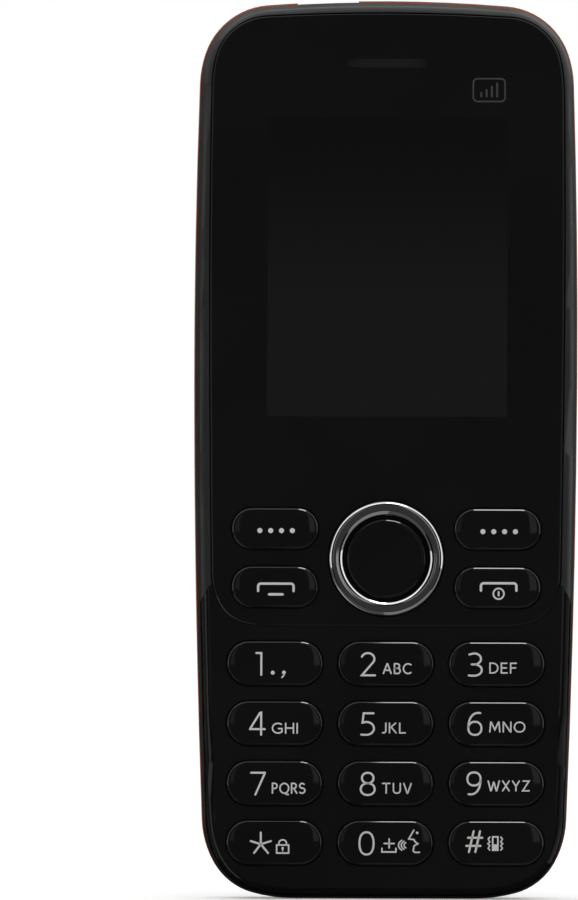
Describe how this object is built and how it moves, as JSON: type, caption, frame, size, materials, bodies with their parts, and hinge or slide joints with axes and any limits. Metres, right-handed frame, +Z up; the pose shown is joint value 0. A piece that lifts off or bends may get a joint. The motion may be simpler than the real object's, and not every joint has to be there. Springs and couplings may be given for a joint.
{
  "type": "mobile phone",
  "caption": "Bar-shaped keypad mobile phone with a rounded display window, chrome navigation ring, stadium keys, orange middle band and a matte clip-off back cover.",
  "frame": {"origin": "centre of the foot, at the bottom centre of the phone's box, with the phone standing upright on its lower end", "axes": "+Z up along the phone towards the earpiece, -Y out of the screen, +X to the right of a person who looks at the screen"},
  "size_m": [0.0506, 0.0142, 0.1187],
  "materials": {
    "matte_shell": "fine satin texture, dark grey",
    "gloss_black": "high-gloss black moulding",
    "window_panel": "hardened glass, printed black on its back, high gloss",
    "orange_frame": "satin orange moulding",
    "soft_touch_cover": "soft-touch matte dark grey",
    "gloss_key": "high-gloss black keycap with printed light grey legend",
    "chrome_ring": "bright plated",
    "silicone": "moulded silicone",
    "dome_film": "white film",
    "spring_steel": "bright",
    "led_body": "white",
    "circuit_board": "green solder mask",
    "chip_plastic": "black moulding compound",
    "shield_metal": "tin-plated sheet",
    "black_moulding": "black engineering plastic",
    "contact_gold": "gold-plated",
    "display_glass": "dark switched-off display cell",
    "backlight_frame": "white diffuser frame",
    "flex_film": "amber flexible circuit",
    "transducer_black": "black frame",
    "mesh_metal": "dark woven mesh",
    "foam_gasket": "black foam",
    "motor_can": "drawn steel can",
    "motor_weight": "sintered heavy metal",
    "battery_wrap": "aluminium cell can in a dark film wrap, bare of lettering"
  },
  "bodies": {
    "phone": {"front_housing": "matte_shell", "keypad_fascia": "gloss_black", "display_window": "window_panel", "mid_frame": "orange_frame", "keypad_membrane": "silicone", "dome_sheet": "dome_film", "key_domes": "spring_steel", "keypad_leds": "led_body", "main_circuit_board": "circuit_board", "baseband_chip": "chip_plastic", "radio_chip": "chip_plastic", "rf_shields": "shield_metal", "sim_socket_1": "shield_metal", "sim_socket_2": "shield_metal", "memory_card_socket": "shield_metal", "contact_block": "black_moulding", "battery_contacts": "contact_gold", "lcd_panel": "display_glass", "lcd_backlight": "backlight_frame", "lcd_ribbon": "flex_film", "earpiece_receiver": "transducer_black", "earpiece_mesh": "mesh_metal", "loudspeaker": "transducer_black", "speaker_gasket": "foam_gasket", "microphone": "shield_metal", "vibration_motor": "motor_can", "antenna_carrier": "black_moulding", "cellular_antenna": "contact_gold", "headphone_jack": "black_moulding", "charging_port": "shield_metal", "housing_screws": "spring_steel"},
    "back_cover": {"back_cover": "soft_touch_cover", "speaker_grille": "soft_touch_cover"},
    "battery": {"battery": "battery_wrap"},
    "vibration_weight": {"vibration_weight": "motor_weight"},
    "nav_actuator": {"nav_actuator": "silicone"},
    "nav_ring": {"nav_ring": "chrome_ring"},
    "key_1": {"key_1": "gloss_key"},
    "key_2": {"key_2": "gloss_key"},
    "key_3": {"key_3": "gloss_key"},
    "key_4": {"key_4": "gloss_key"},
    "key_5": {"key_5": "gloss_key"},
    "key_6": {"key_6": "gloss_key"},
    "key_7": {"key_7": "gloss_key"},
    "key_8": {"key_8": "gloss_key"},
    "key_9": {"key_9": "gloss_key"},
    "key_star": {"key_star": "gloss_key"},
    "key_0": {"key_0": "gloss_key"},
    "key_hash": {"key_hash": "gloss_key"},
    "soft_key_left": {"soft_key_left": "gloss_key"},
    "soft_key_right": {"soft_key_right": "gloss_key"},
    "call_key": {"call_key": "gloss_key"},
    "end_key": {"end_key": "gloss_key"},
    "ok_key": {"ok_key": "gloss_key"}
  },
  "joints": [
    {"name": "key_1_press", "type": "slide", "parent": "phone", "child": "key_1", "axis": [0, 1, 0], "range_m": [0, 0.0003], "stiffness_N_per_m": 300},
    {"name": "key_2_press", "type": "slide", "parent": "phone", "child": "key_2", "axis": [0, 1, 0], "range_m": [0, 0.0003], "stiffness_N_per_m": 300},
    {"name": "key_3_press", "type": "slide", "parent": "phone", "child": "key_3", "axis": [0, 1, 0], "range_m": [0, 0.0003], "stiffness_N_per_m": 300},
    {"name": "key_4_press", "type": "slide", "parent": "phone", "child": "key_4", "axis": [0, 1, 0], "range_m": [0, 0.0003], "stiffness_N_per_m": 300},
    {"name": "key_5_press", "type": "slide", "parent": "phone", "child": "key_5", "axis": [0, 1, 0], "range_m": [0, 0.0003], "stiffness_N_per_m": 300},
    {"name": "key_6_press", "type": "slide", "parent": "phone", "child": "key_6", "axis": [0, 1, 0], "range_m": [0, 0.0003], "stiffness_N_per_m": 300},
    {"name": "key_7_press", "type": "slide", "parent": "phone", "child": "key_7", "axis": [0, 1, 0], "range_m": [0, 0.0003], "stiffness_N_per_m": 300},
    {"name": "key_8_press", "type": "slide", "parent": "phone", "child": "key_8", "axis": [0, 1, 0], "range_m": [0, 0.0003], "stiffness_N_per_m": 300},
    {"name": "key_9_press", "type": "slide", "parent": "phone", "child": "key_9", "axis": [0, 1, 0], "range_m": [0, 0.0003], "stiffness_N_per_m": 300},
    {"name": "key_star_press", "type": "slide", "parent": "phone", "child": "key_star", "axis": [0, 1, 0], "range_m": [0, 0.0003], "stiffness_N_per_m": 300},
    {"name": "key_0_press", "type": "slide", "parent": "phone", "child": "key_0", "axis": [0, 1, 0], "range_m": [0, 0.0003], "stiffness_N_per_m": 300},
    {"name": "key_hash_press", "type": "slide", "parent": "phone", "child": "key_hash", "axis": [0, 1, 0], "range_m": [0, 0.0003], "stiffness_N_per_m": 300},
    {"name": "soft_key_left_press", "type": "slide", "parent": "phone", "child": "soft_key_left", "axis": [0, 1, 0], "range_m": [0, 0.0003], "stiffness_N_per_m": 300},
    {"name": "soft_key_right_press", "type": "slide", "parent": "phone", "child": "soft_key_right", "axis": [0, 1, 0], "range_m": [0, 0.0003], "stiffness_N_per_m": 300},
    {"name": "call_key_press", "type": "slide", "parent": "phone", "child": "call_key", "axis": [0, 1, 0], "range_m": [0, 0.0003], "stiffness_N_per_m": 300},
    {"name": "end_key_press", "type": "slide", "parent": "phone", "child": "end_key", "axis": [0, 1, 0], "range_m": [0, 0.0003], "stiffness_N_per_m": 300},
    {"name": "ok_key_press", "type": "slide", "parent": "phone", "child": "ok_key", "axis": [0, 1, 0], "range_m": [0, 0.0003], "stiffness_N_per_m": 300},
    {"name": "ring_press_up_down", "type": "hinge", "parent": "phone", "child": "nav_actuator", "pos_m": [0, -0.004, 0.045], "axis": [1, 0, 0], "range_deg": [-1.1, 1.1], "stiffness_Nm_per_rad": 0.02},
    {"name": "ring_press_left_right", "type": "hinge", "parent": "nav_actuator", "child": "nav_ring", "pos_m": [0, -0.004, 0.045], "axis": [0, 0, 1], "range_deg": [-1.1, 1.1], "stiffness_Nm_per_rad": 0.02},
    {"name": "back_cover_off", "type": "slide", "parent": "phone", "child": "back_cover", "axis": [0, 1, 0], "range_m": [0, 0.03]},
    {"name": "battery_out", "type": "slide", "parent": "phone", "child": "battery", "axis": [0, 1, 0], "range_m": [0, 0.015]},
    {"name": "vibration_spin", "type": "hinge", "parent": "phone", "child": "vibration_weight", "pos_m": [-0.003, 0.00275, 0.012], "axis": [1, 0, 0], "continuous": true}
  ],
  "couplings": [
    {"joint": "battery_out", "follows": "back_cover_off", "ratio": 0.5}
  ]
}
